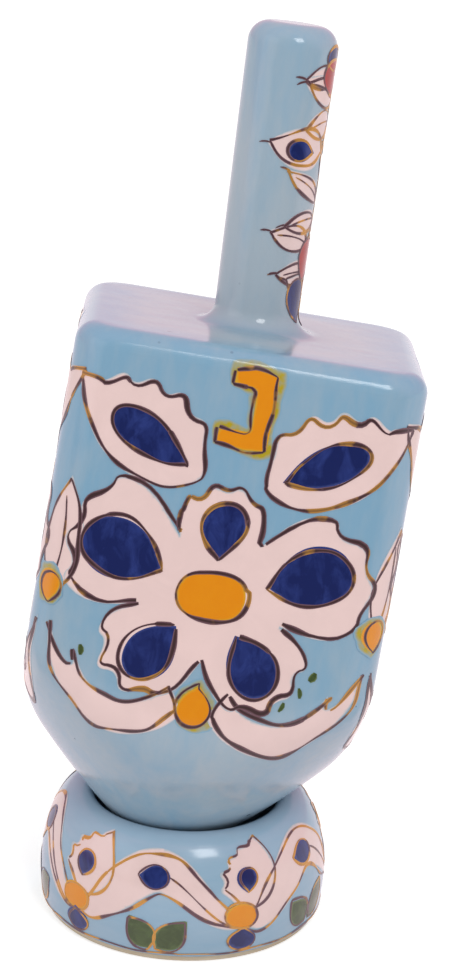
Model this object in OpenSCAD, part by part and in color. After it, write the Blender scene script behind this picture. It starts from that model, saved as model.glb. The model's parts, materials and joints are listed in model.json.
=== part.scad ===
// Glazed ceramic dreidel, leaning in its own round stand. Millimetres, +Z up.
// The origin is the centre of the stand's foot, on the table.
// The dreidel is drawn upright on its point, then leaned and set down in the stand's mouth.

/* [Dreidel body] */
// Width of the square body across two flat faces
body_w = 50; // [44:0.5:58]
// Height of the body along its own axis, from the point to the flat top
body_h = 81.3; // [74:0.1:95]
// Radius of the four upright edges
corner_r = 6.6; // [4:0.1:10]
// Radius of the edge round the flat top
top_edge_r = 3; // [1.5:0.1:4]
// Half angle of the cone at its lower end
cone_low_angle = 52; // [48:0.5:58]
// Half angle of the cone where it meets the upright edges
cone_high_angle = 35.3; // [32:0.1:42]
// Radius of the round point
nose_r = 3.2; // [2:0.1:4.5]
// Thickness of the cast wall
wall = 5; // [3:0.1:7]

/* [Stem] */
// Diameter of the stem at its root
stem_d = 12; // [9:0.1:15]
// Diameter of the stem at its end, a little more than at its root
stem_end_d = 12.9; // [9:0.1:16]
// Height of the stem above the flat top
stem_h = 44; // [30:0.5:60]
// Radius of the edge round the stem's end
stem_end_r = 3; // [1:0.1:4]
// Sideways lean of the stem, as it was set by hand
stem_tilt = 1.9; // [0:0.1:4]
// Diameter of the spigot under the stem
spigot_d = 8; // [5:0.1:8.5]
// Length of the spigot below the flat top
spigot_h = 8; // [7.5:0.1:12]
// Radius of the slip fillet round the stem's root
fillet_r = 3; // [1:0.1:5]
// Thickness of the slip fillet at its outer edge
fillet_edge = 0.15; // [0.1:0.05:0.4]

/* [Point] */
// Height of the plug that forms the point
tip_h = 4; // [3.5:0.1:5]
// Diameter of the plug's shank
shank_d = 5; // [4:0.1:6]
// Length of the plug's shank
shank_h = 4.5; // [2:0.1:4.8]
// Length of the drain hole, from the plug to the hollow
drain_h = 5; // [5:0.1:6]
// Diameter of the vent hole
vent_d = 1.8; // [1:0.1:2.5]
// Height of the vent hole above the point
vent_h = 12; // [11:0.1:16]

/* [Stand] */
// Diameter of the stand where it meets its foot
foot_d = 41.8; // [38:0.1:46]
// Widest diameter of the stand
belly_d = 42.5; // [40:0.1:48]
// Height at which the stand is widest
belly_h = 5; // [3.5:0.1:7]
// Height of the stand
stand_h = 18.4; // [16.5:0.1:22]
// Clear diameter of the stand's mouth
mouth_d = 27.2; // [24:0.1:30]
// Radius of the rolled lip
lip_r = 1.5; // [1:0.1:2]
// Power of the shoulder's curve: 2 is an ellipse, more is squarer
shoulder_power = 2.1; // [1.8:0.05:3]
// Diameter of the hollow inside the stand
hollow_d = 32; // [30:0.1:33]
// Height at which the hollow starts to close towards the lip
hollow_h = 9; // [7:0.1:11]
// Height of the bare foot ring
foot_ring_h = 1; // [0.6:0.1:1.6]
// Step from the stand's wall in to the foot ring, on both sides
foot_ring_step = 0.6; // [0.2:0.1:1]

/* [Pose and fits] */
// Lean of the dreidel in its stand
lean = 12.3; // [6:0.1:15]
// Heading of the lean, from +X towards +Y
lean_heading = 56; // [0:1:360]
// Gap between the cone and the lip where the dreidel is seated
seat_gap = 0.3; // [0.2:0.05:0.5]
// Gap round a shank or a spigot
running_gap = 0.05; // [0.02:0.01:0.1]
// Gap between the plug and the body above it
tip_gap = 0.15; // [0.1:0.05:0.4]

/* [Hidden] */
glaze = [0.56, 0.79, 0.86];
bare_clay = [0.87, 0.82, 0.74];
$fn = 96;
// Finer facets for the long arc of the cone
arc_fn = 720;
// Steps along the stand's shoulder
shoulder_steps = 20;
// Overrun of every cut
over = 1;

half_w = body_w / 2;
stem_r = stem_d / 2;
// Distance from the axis to the rounded upright edges
reach = (half_w - corner_r) * sqrt(2) + corner_r;
// The cone's wall is one long arc, tangent to the round point
nose_end = [nose_r * cos(cone_low_angle), nose_r * (1 - sin(cone_low_angle))];
bulge_r = (reach - nose_end[0]) / (cos(cone_high_angle) - cos(cone_low_angle));
bulge_centre = nose_end + bulge_r * [-cos(cone_low_angle), sin(cone_low_angle)];
cavity_floor = tip_h + drain_h;

// The lip is a tube of radius lip_r whose centre runs at this radius and height
lip_centre = [mouth_d / 2 + lip_r, stand_h - lip_r];

// Turns a place (radius, height) on the upright dreidel by the lean, in the plane of the lean
function leaned(p) = [p[0] * cos(lean) + p[1] * sin(lean), p[1] * cos(lean) - p[0] * sin(lean)];
// The cone touches the lip's tube at both ends of its lean, so the point lies at the same
// distance from two places, one for each side
seat_reach = bulge_r + lip_r + seat_gap;
seat_far = lip_centre - leaned(bulge_centre);
seat_near = [-lip_centre[0], lip_centre[1]] - leaned([-bulge_centre[0], bulge_centre[1]]);
seat_step = seat_near - seat_far;
seat_rise = sqrt(pow(seat_reach, 2) - pow(norm(seat_step) / 2, 2));
// Place of the dreidel's point: along the heading of the lean, and above the table
tip_place = (seat_far + seat_near) / 2 + seat_rise / norm(seat_step) * [seat_step[1], -seat_step[0]];

echo(tip_x = tip_place[0] * cos(lean_heading), tip_y = tip_place[0] * sin(lean_heading), tip_z = tip_place[1]);
echo(axis = [sin(lean) * cos(lean_heading), sin(lean) * sin(lean_heading), cos(lean)]);

// Sets an upright piece of the dreidel down in the stand, leaning
module in_stand() {
    rotate([0, 0, lean_heading])
        translate([tip_place[0], 0, tip_place[1]])
            rotate([0, lean, 0])
                rotate([0, 0, -lean_heading])
                    children();
}

// Half profile of a post: radius r, height h, top edge rounded by edge
module post_profile(r, h, edge) {
    square([r - edge, h]);
    square([r, h - edge]);
    translate([r - edge, h - edge]) circle(edge);
}

// Block with rounded upright edges and a rounded top edge
module soft_block(half, h, upright_r, edge) {
    straight = half - upright_r;
    for (turn = [0, 90])
        rotate([90, 0, turn])
            translate([0, 0, -straight])
                linear_extrude(2 * straight)
                    for (side = [0, 1]) mirror([side, 0]) post_profile(half, h, edge);
    for (x = [-1, 1], y = [-1, 1])
        translate([x * straight, y * straight])
            rotate_extrude()
                intersection() {
                    post_profile(upright_r, h, edge);
                    square([upright_r, h]);
                }
}

// Half profile of the cone, drawn in from the outer face by inset and open above
module cone_profile(inset, floor_h) {
    intersection() {
        translate(bulge_centre) circle(bulge_r - inset, $fn = arc_fn);
        translate([0, floor_h]) square([bulge_r, body_h]);
    }
}

// Outer form of the body, solid
module body_form() {
    intersection() {
        soft_block(half_w, body_h, corner_r, top_edge_r);
        rotate_extrude() {
            cone_profile(0, nose_end[1]);
            intersection() {
                translate([0, nose_r]) circle(nose_r);
                square([nose_r, nose_end[1]]);
            }
        }
    }
}

// Hollow left when the slip is poured out
module body_hollow() {
    intersection() {
        translate([0, 0, cavity_floor])
            soft_block(half_w - wall, body_h - wall - cavity_floor, corner_r - wall / 2, top_edge_r / 2);
        rotate_extrude() cone_profile(wall, cavity_floor);
    }
}

module dreidel_shell() {
    color(glaze)
        in_stand()
            difference() {
                body_form();
                body_hollow();
                translate([0, 0, -over]) cylinder(r = reach, h = over + tip_h + tip_gap);
                translate([0, 0, tip_h]) cylinder(d = shank_d + 2 * running_gap, h = drain_h + over);
                translate([0, 0, body_h - wall - over]) cylinder(d = spigot_d + 2 * running_gap, h = wall + 2 * over);
                translate([0, 0, vent_h]) rotate([-90, 0, 0]) cylinder(d = vent_d, h = reach);
            }
}

// Stem and what it is cut with, both leaning to one side from the middle of the flat top
module leaning_stem(extra) {
    end_r = stem_end_d / 2;
    translate([0, 0, body_h])
        rotate([0, -stem_tilt, 0])
            rotate_extrude() {
                polygon([
                    [0, -extra], [stem_r, -extra], [stem_r, 0],
                    [end_r, stem_h - stem_end_r], [end_r - stem_end_r, stem_h], [0, stem_h]]);
                intersection() {
                    translate([end_r - stem_end_r, stem_h - stem_end_r]) circle(stem_end_r);
                    translate([end_r - stem_end_r, stem_h - stem_end_r]) square(stem_end_r);
                }
            }
}

module stem() {
    color(glaze)
        in_stand() {
            difference() {
                leaning_stem(over);
                translate([0, 0, body_h - body_w]) cylinder(r = reach, h = body_w);
            }
            translate([0, 0, body_h - spigot_h]) cylinder(d = spigot_d, h = spigot_h);
        }
}

module slip_fillet() {
    foot_r = stem_r + fillet_r;
    color(glaze)
        in_stand()
            difference() {
                translate([0, 0, body_h])
                    rotate_extrude()
                        difference() {
                            square([foot_r, fillet_r]);
                            translate([foot_r, fillet_r + fillet_edge]) circle(fillet_r);
                        }
                leaning_stem(over);
            }
}

module tip() {
    color(bare_clay)
        in_stand() {
            intersection() {
                body_form();
                cylinder(r = reach, h = tip_h);
            }
            cylinder(d = shank_d, h = tip_h + shank_h);
        }
}

// Place on the stand's shoulder, from its widest (share 0) to the top of the lip (share 1)
function shoulder(share) =
    let (rise = sin(90 * share), draw = pow(max(1 - pow(rise, shoulder_power), 0), 1 / shoulder_power))
    [lip_centre[0] + (belly_d / 2 - lip_centre[0]) * draw, belly_h + (stand_h - belly_h) * rise];

module stand_ring() {
    color(glaze)
        rotate_extrude() {
            polygon(concat(
                [[hollow_d / 2, foot_ring_h], [foot_d / 2, foot_ring_h]],
                [for (i = [0 : shoulder_steps]) shoulder(i / shoulder_steps)],
                [lip_centre, lip_centre - [lip_r, 0], [hollow_d / 2, hollow_h]]));
            translate(lip_centre) circle(lip_r);
        }
}

module stand_foot() {
    inner = hollow_d / 2 + foot_ring_step;
    color(bare_clay)
        rotate_extrude()
            translate([inner, 0])
                square([foot_d / 2 - foot_ring_step - inner, foot_ring_h]);
}

stand_ring();
stand_foot();
dreidel_shell();
stem();
slip_fillet();
tip();
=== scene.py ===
"""Glazed ceramic dreidel leaning in its round stand, hand painted with folk flowers."""

import json
import math
import random
from functools import partial
from types import SimpleNamespace

import bmesh
import bpy
from mathutils import Matrix, Vector, noise
from mathutils.kdtree import KDTree


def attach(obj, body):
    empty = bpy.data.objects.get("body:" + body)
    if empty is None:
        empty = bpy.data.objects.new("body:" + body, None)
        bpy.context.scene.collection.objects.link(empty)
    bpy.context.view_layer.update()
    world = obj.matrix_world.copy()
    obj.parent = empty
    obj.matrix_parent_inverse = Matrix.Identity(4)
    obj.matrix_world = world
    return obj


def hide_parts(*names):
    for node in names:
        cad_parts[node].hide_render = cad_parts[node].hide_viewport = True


bl_info = {
    "name": "Glazed Dreidel",
    "version": (1, 0, 0),
    "blender": (4, 5, 0),
    "location": "View3D > Sidebar > Dreidel",
    "description": "Builds a hand painted ceramic dreidel and its stand around a packed frame",
    "category": "Object",
}

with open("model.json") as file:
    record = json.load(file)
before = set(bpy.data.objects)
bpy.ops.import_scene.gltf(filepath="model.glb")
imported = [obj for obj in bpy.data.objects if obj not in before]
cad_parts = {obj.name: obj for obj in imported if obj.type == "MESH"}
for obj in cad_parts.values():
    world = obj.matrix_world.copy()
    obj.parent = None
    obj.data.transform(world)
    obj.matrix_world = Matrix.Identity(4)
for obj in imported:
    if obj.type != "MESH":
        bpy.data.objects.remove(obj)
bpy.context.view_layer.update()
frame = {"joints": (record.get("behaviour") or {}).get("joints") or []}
SPIN_JOINT = next(j for j in frame["joints"] if j["name"] == "dreidel_spin")
AXIS = Vector(SPIN_JOINT["axis"]).normalized()
# Turns the upright dreidel onto its lean and sets its point down in the stand
LEAN = Vector((0, 0, 1)).rotation_difference(AXIS).to_matrix().to_4x4()
SET_DOWN = Matrix.Translation(Vector(SPIN_JOINT["pos_m"])) @ LEAN
MM = 0.001


def length(name, description, size):
    """A length of some millimetres, as a property in metres."""
    return bpy.props.FloatProperty(
        name=name, description=description, default=size * MM, min=0.0, precision=5, unit="LENGTH")


def angle(name, description, degrees):
    """An angle of some degrees, as a property in radians."""
    return bpy.props.FloatProperty(name=name, description=description, default=math.radians(degrees), unit="ROTATION")


def linear(code):
    """Turns an sRGB hex colour into linear red, green and blue."""
    parts = [int(code[i:i + 2], 16) / 255 for i in (1, 3, 5)]
    return tuple(c / 12.92 if c <= 0.04045 else ((c + 0.055) / 1.055) ** 2.4 for c in parts)


def colour(name, description, code):
    """A colour given in hex, as a property."""
    return bpy.props.FloatVectorProperty(
        name=name, description=description, subtype="COLOR", size=3, min=0.0, max=1.0, default=linear(code))


class DreidelSizes(bpy.types.PropertyGroup):
    """Sizes of the dreidel, the same as those of its solids"""
    body_w: length("Body width", "Width of the square body across two flat faces", 50)
    body_h: length("Body height", "From the point to the flat top", 81.3)
    corner_r: length("Upright edges", "Radius of the four upright edges", 6.6)
    top_edge_r: length("Top edge", "Radius of the edge round the flat top", 3)
    blend: length("Cone blend", "Width over which the faces melt into the cone", 4.5)
    cone_low: angle("Low angle", "Half angle of the cone at its lower end", 52)
    cone_high: angle("High angle", "Half angle of the cone where it meets the upright edges", 35.3)
    nose_r: length("Nose", "Radius of the round point", 3.2)
    tip_h: length("Point height", "Height of the clay plug that forms the point", 4)
    tip_gap: length("Point gap", "Gap between the plug and the body above it", 0.15)
    shank_d: length("Shank", "Diameter of the plug's shank", 5)
    shank_h: length("Shank length", "Length of the plug's shank", 4.5)
    stem_d: length("Stem root", "Diameter of the stem at its root", 12)
    stem_end_d: length("Stem end", "Diameter of the stem at its end", 12.9)
    stem_h: length("Stem height", "Height of the stem above the flat top", 43.98)
    stem_end_r: length("Stem end edge", "Radius of the edge round the stem's end", 3)
    stem_tilt: angle("Stem tilt", "Sideways lean of the stem", 1.9)
    fillet_r: length("Slip fillet", "Radius of the fillet round the stem's root", 3)
    vent_d: length("Vent", "Diameter of the vent hole in the back of the cone", 1.8)
    vent_h: length("Vent height", "Height of the vent hole above the point", 12)
    wobble: length("Wobble", "How far the cast faces dip here and there", 0.12)


class StandSizes(bpy.types.PropertyGroup):
    """Sizes of the stand, the same as those of its solids"""
    foot_d: length("Foot", "Diameter where the stand meets its foot", 41.8)
    belly_d: length("Belly", "Widest diameter", 42.5)
    belly_h: length("Belly height", "Height at which the stand is widest", 5)
    stand_h: length("Height", "Height of the stand", 18.4)
    mouth_d: length("Mouth", "Clear diameter of the mouth", 27.2)
    lip_r: length("Lip", "Radius of the rolled lip", 1.5)
    shoulder_power: bpy.props.FloatProperty(
        name="Shoulder", description="Power of the shoulder's curve: 2 is an ellipse", default=2.1, min=1.0)
    hollow_d: length("Hollow", "Diameter of the hollow inside", 32)
    hollow_h: length("Hollow height", "Height at which the hollow starts to close", 9)
    foot_ring_h: length("Foot ring", "Height of the bare foot ring", 1)
    foot_ring_step: length("Foot step", "Step from the wall in to the foot ring", 0.6)


class PaintColours(bpy.types.PropertyGroup):
    """Colours of the glaze and of the painted pigments"""
    glaze: colour("Glaze", "Pale sky blue glaze", "#81A8C2")
    # The thin glaze colour also paints the reflection on the dreidel's flat top and the lightening at the stem's root
    glaze_thin: colour("Thin glaze", "Where the glaze ran thin over an edge", "#A7B5C0")
    glaze_stand: colour("Stand's thin glaze", "Where the glaze ran thin over the stand", "#A1B8CB")
    # The deep glaze colour is also the painted shade in the crease of the slip fillet
    glaze_deep: colour("Deep glaze", "Where the glaze pooled", "#6992AE")
    white: colour("White", "Warm white slip under the clear glaze", "#EACDC9")
    cobalt: colour("Cobalt", "Cobalt blue, brushed thick", "#15225A")
    cobalt_thin: colour("Thin cobalt", "Cobalt blue, brushed thin", "#33458E")
    orange: colour("Orange", "Orange yellow stain", "#E58B0A")
    halo: colour("Halo", "Yellow green where the orange bled into the blue", "#B39D27")
    green: colour("Green", "Dark leaf green", "#3F4E2A")
    red: colour("Red", "Brick red", "#A62E2A")
    line: colour("Line", "Purple brown of the painted outlines", "#422C2E")
    line_thin: colour("Thin line", "Where the brush line washes out", "#7E5C66")
    # Its gold patches along the lines are partly metallic lustre and partly painted glints
    lustre: colour("Lustre", "Gold lustre that flashes along the outlines", "#D79C48")
    clay: colour("Clay", "Bare fired clay", "#DDD0BC")


def in_mm(group):
    """The sizes of a property group as plain numbers: lengths in millimetres, angles in radians."""
    sizes = SimpleNamespace()
    for name in group.__annotations__:
        spec = group.bl_rna.properties[name]
        value = getattr(group, name)
        setattr(sizes, name, value / MM if spec.unit == "LENGTH" else value)
    return sizes


# Surfaces: every skin and every painted shape gets its place from these

# Places on a small worn edge: how far in from the side, and how far up from the face
WORN_EDGE = ((0.35, 0), (0.1, 0.1), (0, 0.35))
# Distance over which a surface's slope is measured
NEAR = 0.05


def ramp(value, start, end):
    """How far a value has come from start to end, held between 0 and 1."""
    return min(max((value - start) / (end - start), 0), 1)


def spread(start, end, count):
    """Values from start to end in equal steps."""
    return [start + (end - start) * k / count for k in range(count + 1)]


def between(start, end, shares):
    """Places at some shares of the straight way from one place to another."""
    return [(start[0] + (end[0] - start[0]) * k, start[1] + (end[1] - start[1]) * k) for k in shares]


def about_axis(radius, way, height):
    """Place round the upright axis, its way in radians to the right from the front."""
    return Vector((radius * math.sin(way), -radius * math.cos(way), height))


def soft_min(a, b, width):
    """The lesser of two lengths, melted together over a width."""
    share = max(width - abs(a - b), 0) / width
    return min(a, b) - share * share * width / 4


class Dreidel:
    """Outer form of the upright dreidel, in millimetres, with its point at the origin."""
    # Height above which the cone lies outside the faces
    CONE_TOP = 60
    # Share of the cone's blend that the upright edges do without
    CRISPNESS = 0.75
    # Heights between which the cast wall's dips set in, their width, and where their pattern starts
    DIPS_FROM, DIPS_FULL, DIP_WIDTH, DIP_START = 16, 24, 21, Vector((3, 1, 7))

    def __init__(self, group):
        self.s = s = in_mm(group)
        self.flat = s.body_w / 2 - s.corner_r
        self.side = 2 * self.flat + s.corner_r * math.pi / 2
        self.straight_top = s.body_h - s.top_edge_r
        reach = self.flat * math.sqrt(2) + s.corner_r
        end = (s.nose_r * math.cos(s.cone_low), s.nose_r * (1 - math.sin(s.cone_low)))
        self.nose_top = end[1]
        self.bulge_r = (reach - end[0]) / (math.cos(s.cone_high) - math.cos(s.cone_low))
        self.bulge = (end[0] - self.bulge_r * math.cos(s.cone_low), end[1] + self.bulge_r * math.sin(s.cone_low))
        self.stem_r = s.stem_d / 2
        self.fillet_foot = self.stem_r + s.fillet_r

    def cone_r(self, height):
        """Radius of the bulged cone, or of the round nose below it."""
        if height < self.nose_top:
            return math.sqrt(max(self.s.nose_r ** 2 - (self.s.nose_r - height) ** 2, 0))
        if height >= self.bulge[1]:
            return self.bulge[0] + self.bulge_r
        return self.bulge[0] + math.sqrt(self.bulge_r ** 2 - (self.bulge[1] - height) ** 2)

    def square(self, girth, inset):
        """Place on the rounded square seen from above, girth running to the right from the front's middle."""
        turn, along = divmod(girth + self.side / 2, self.side)
        along -= self.side / 2
        over = max(abs(along) - self.flat, 0) / self.s.corner_r
        radius = self.s.corner_r - inset
        x = math.copysign(min(abs(along), self.flat) + radius * math.sin(over), along)
        y = -(self.flat + radius * math.cos(over))
        for _ in range(int(turn) % 4):
            x, y = -y, x
        return x, y

    def body(self, girth, height):
        """Place on the body's wall. Past the straight wall, height runs on over the rounded top edge."""
        over = max(height - self.straight_top, 0) / self.s.top_edge_r
        inset = self.s.top_edge_r * (1 - math.cos(over))
        z = min(height, self.straight_top) + self.s.top_edge_r * math.sin(over)
        x, y = self.square(girth, inset)
        radius = wanted = math.hypot(x, y)
        if height < self.CONE_TOP:
            # The faces melt into the cone over a broad band, the upright edges end in a crisper corner
            corner = abs((girth + self.side / 2) % self.side - self.side / 2) / (self.side / 2)
            blend = self.s.blend * (1 - self.CRISPNESS * corner ** 6)
            wanted = soft_min(radius, self.cone_r(height), blend)
        # The cast wall isn't quite true: it dips a little here and there
        dip = noise.noise(Vector((x, y, z)) / self.DIP_WIDTH + self.DIP_START) * 0.5 + 0.5
        wanted -= self.s.wobble * ramp(height, self.DIPS_FROM, self.DIPS_FULL) * dip
        return Vector((x * wanted / radius, y * wanted / radius, z))

    def top(self, girth, share):
        """Place on the flat top, from its rounded edge (share 0) to the foot of the fillet (share 1)."""
        start = self.body(girth, self.straight_top + self.s.top_edge_r * math.pi / 2)
        end = Vector((start.x, start.y, 0)).normalized() * self.fillet_foot
        end.z = self.s.body_h
        return start.lerp(end, share)

    def stem(self, girth, height):
        """Place on the stem, girth in millimetres from its front, height above the flat top."""
        s = self.s
        straight = s.stem_h - s.stem_end_r
        radius = self.stem_r + (s.stem_end_d / 2 - self.stem_r) * ramp(height, 0, straight)
        z = height
        tilt = 1
        if height < s.fillet_r:
            rise = math.acos(max(1 - max(height, 0) / s.fillet_r, 0))
            radius += s.fillet_r * (1 - math.sin(rise))
            tilt = math.sin(rise)
        if height > straight:
            over = min((height - straight) / s.stem_end_r, math.pi / 2)
            radius -= s.stem_end_r * (1 - math.cos(over))
            z = straight + s.stem_end_r * math.sin(over)
        place = about_axis(radius, girth / self.stem_r, z)
        return Matrix.Rotation(-s.stem_tilt * tilt, 3, "Y") @ place + Vector((0, 0, s.body_h))


class Stand:
    """Outer form of the stand, in millimetres, with the middle of its foot at the origin."""
    SHOULDER_STEPS = 40

    def __init__(self, group):
        self.s = s = in_mm(group)
        self.lip = (s.mouth_d / 2 + s.lip_r, s.stand_h - s.lip_r)
        foot, belly = s.foot_d / 2, s.belly_d / 2
        self.outer = [(foot - inset, s.foot_ring_h + up) for inset, up in WORN_EDGE]
        self.outer += between((foot, s.foot_ring_h), (belly, s.belly_h), (0.25, 0.45, 0.7))
        for i in range(self.SHOULDER_STEPS + 1):
            rise = math.sin(math.pi / 2 * i / self.SHOULDER_STEPS)
            draw = max(1 - rise ** s.shoulder_power, 0) ** (1 / s.shoulder_power)
            radius = self.lip[0] + (belly - self.lip[0]) * draw
            self.outer.append((radius, s.belly_h + (s.stand_h - s.belly_h) * rise))
        self.along = [0.0]
        for a, b in zip(self.outer, self.outer[1:]):
            self.along.append(self.along[-1] + math.dist(a, b))
        self.girth = math.pi * s.belly_d

    def profile(self):
        """The whole wall in section: outer side, rolled lip, hollow and underside."""
        s = self.s
        wall = list(self.outer)
        for i in range(1, 15):
            over = math.pi / 2 + math.pi * i / 24
            wall.append((self.lip[0] + s.lip_r * math.cos(over), self.lip[1] + s.lip_r * math.sin(over)))
        inner = s.hollow_d / 2
        wall += between(wall[-1], (inner, s.hollow_h), (0.3, 0.6, 0.85))
        wall += [(inner, s.hollow_h - 1), (inner, (s.hollow_h + s.foot_ring_h) / 2), (inner, s.foot_ring_h + 0.4)]
        return wall + [(inner + 0.12, s.foot_ring_h + 0.12), (inner + 0.4, s.foot_ring_h)]

    def foot_profile(self):
        """The bare foot ring in section, its lower edges worn round."""
        s = self.s
        inner, outer = s.hollow_d / 2 + s.foot_ring_step, s.foot_d / 2 - s.foot_ring_step
        ring = [(inner, s.foot_ring_h), (outer, s.foot_ring_h)]
        ring += [(outer - inset, up) for inset, up in reversed(WORN_EDGE)]
        return ring + [(inner + inset, up) for inset, up in WORN_EDGE]

    def wall(self, girth, climb):
        """Place on the outside: girth in millimetres to the right from the front, climb up the wall from its foot."""
        climb = min(max(climb, 0), self.along[-1] - 1e-6)
        i = next(k for k in range(1, len(self.along)) if self.along[k] >= climb)
        share = (climb - self.along[i - 1]) / (self.along[i] - self.along[i - 1])
        radius, height = between(self.outer[i - 1], self.outer[i], [share])[0]
        return about_axis(radius, girth / self.girth * 2 * math.pi, height)


def lifted(surface, u, v, lift):
    """Place a little above a surface, square to it."""
    across = surface(u + NEAR, v) - surface(u - NEAR, v)
    up = surface(u, v + NEAR) - surface(u, v - NEAR)
    return surface(u, v) + across.cross(up).normalized() * lift


# Mesh pieces

# Angle from which an edge of a skin stays sharp
CREASE = math.radians(40)


def add_piece(name, bm, body, material, placing=Matrix.Identity(4), nodes=()):
    """Finishes a mesh drawn in millimetres: places it, gives it a material and sets it on its body.
    A skin, which takes the place of solids, is turned outward and keeps its sharp edges."""
    if not bm.faces:
        raise RuntimeError(f"{name} has no faces")
    if nodes:
        bmesh.ops.recalc_face_normals(bm, faces=bm.faces[:])
    bm.transform(placing @ Matrix.Scale(MM, 4))
    for face in bm.faces:
        face.smooth = True
    for edge in bm.edges:
        if nodes and edge.is_manifold and edge.calc_face_angle(0) > CREASE:
            edge.smooth = False
    mesh = bpy.data.meshes.new(name)
    bm.to_mesh(mesh)
    bm.free()
    mesh.materials.append(material)
    piece = bpy.data.objects.new(name, mesh)
    bpy.context.scene.collection.objects.link(piece)
    if nodes:
        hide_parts(*nodes)
    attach(piece, body)


def spun(section, steps, closed=False):
    """Places (radius, height) spun round the upright axis, as a mesh that records, vertex by vertex, where the glaze is
    drawn paler, for thin glaze and painted light, and where it is drawn darker, for pooled glaze and painted shade."""
    bm = bmesh.new()
    for record in ("glaze_thin", "glaze_deep"):
        bm.verts.layers.float.new(record)
    verts = [bm.verts.new((radius, 0, height)) for radius, height in section]
    edges = [bm.edges.new(pair) for pair in zip(verts, verts[1:] + verts[:1] if closed else verts[1:])]
    bmesh.ops.spin(
        bm, geom=verts + edges, cent=(0, 0, 0), axis=(0, 0, 1), angle=2 * math.pi, steps=steps, use_merge=True)
    return bm


def shaped_tube(rows, steps):
    """A tube whose vertices go where each row's function puts them, given their share of the way round."""
    bm = spun([(1, k) for k in range(len(rows))], steps)
    rings = [[] for _ in rows]
    for vert in bm.verts:
        rings[round(vert.co.z)].append(vert)
    for row, ring in zip(rows, rings):
        for vert in ring:
            turn = (math.atan2(vert.co.y, vert.co.x) / (2 * math.pi) + 0.25) % 1
            vert.co = row(round(turn * steps) % steps / steps)
    return bm, rings


def close_poles(bm, rings):
    """Draws the first and the last ring of a tube together, each into one vertex at its middle."""
    for ring in (rings[0], rings[-1]):
        bmesh.ops.pointmerge(bm, verts=ring, merge_co=sum((v.co for v in ring), Vector()) / len(ring))


def sink_vent(bm, centre, out, radius, depth):
    """A round blind hole with a softened rim, sunk into a closed skin from a place on it, against the direction out."""
    def offset(vert):
        arm = vert.co - centre
        return arm - out * arm.dot(out)
    near = [v for v in bm.verts if (v.co - centre).length < 3 * radius and (v.co - centre).dot(out) > -radius]
    bmesh.ops.delete(bm, geom=[v for v in near if offset(v).length < radius * 1.1], context="VERTS")
    rim = [e for e in bm.edges if e.is_boundary]
    if not rim:
        raise ValueError("The vent lies off the skin")
    # Share of the radius and depth, for the rim, for the softened edge below it and for the floor
    for grown, down in ((1.12, 0.0), (1.0, 0.2), (1.0, depth)):
        if down:
            made = bmesh.ops.extrude_edge_only(bm, edges=rim)["geom"]
            rim = [e for e in made if isinstance(e, bmesh.types.BMEdge) and e.is_boundary]
        for vert in {v for e in rim for v in e.verts}:
            level = -down if down == depth else (vert.co - centre).dot(out) - down
            vert.co = centre + offset(vert).normalized() * radius * grown + out * level
    bmesh.ops.holes_fill(bm, edges=rim)


def round_row(radius, height):
    """A level circle of vertices, as a row of a tube."""
    return lambda turn: about_axis(radius, 2 * math.pi * turn, height)


# Painted shapes, drawn flat in millimetres and laid on a surface

def softened(corners, closed, rounds):
    """Cuts the corners of a line over and over, until it runs smoothly. A place given twice stays sharper."""
    line = [Vector(c) for c in corners]
    for _ in range(rounds):
        pairs = zip(line, line[1:] + line[:1] if closed else line[1:])
        cut = [q for a, b in pairs for q in (a.lerp(b, 0.25), a.lerp(b, 0.75))]
        line = cut if closed else [line[0]] + cut + [line[-1]]
    return line


def evenly(line, closed, step):
    """The same line with its places a step apart."""
    line = line + line[:1] if closed else line
    runs = [0.0]
    for a, b in zip(line, line[1:]):
        runs.append(runs[-1] + (b - a).length)
    count = max(round(runs[-1] / step), 4)
    places, i = [], 1
    for k in range(count if closed else count + 1):
        want = runs[-1] * k / count
        while i < len(runs) - 1 and runs[i] < want:
            i += 1
        gap = runs[i] - runs[i - 1]
        places.append(line[i - 1].lerp(line[i], (want - runs[i - 1]) / gap if gap > 1e-9 else 0))
    return places


def flowing(corners, closed=True, rounds=3, step=0.45):
    """A smooth line along some corners, its places a step apart. A closed one runs anticlockwise."""
    line = evenly(softened(corners, closed, rounds), closed, step)
    if closed and sum(a.cross(b) for a, b in zip(line, line[1:] + line[:1])) < 0:
        line = line[::-1]
    return line


def left_of(step):
    """A step turned a quarter to the left."""
    return Vector((-step.y, step.x))


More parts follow.
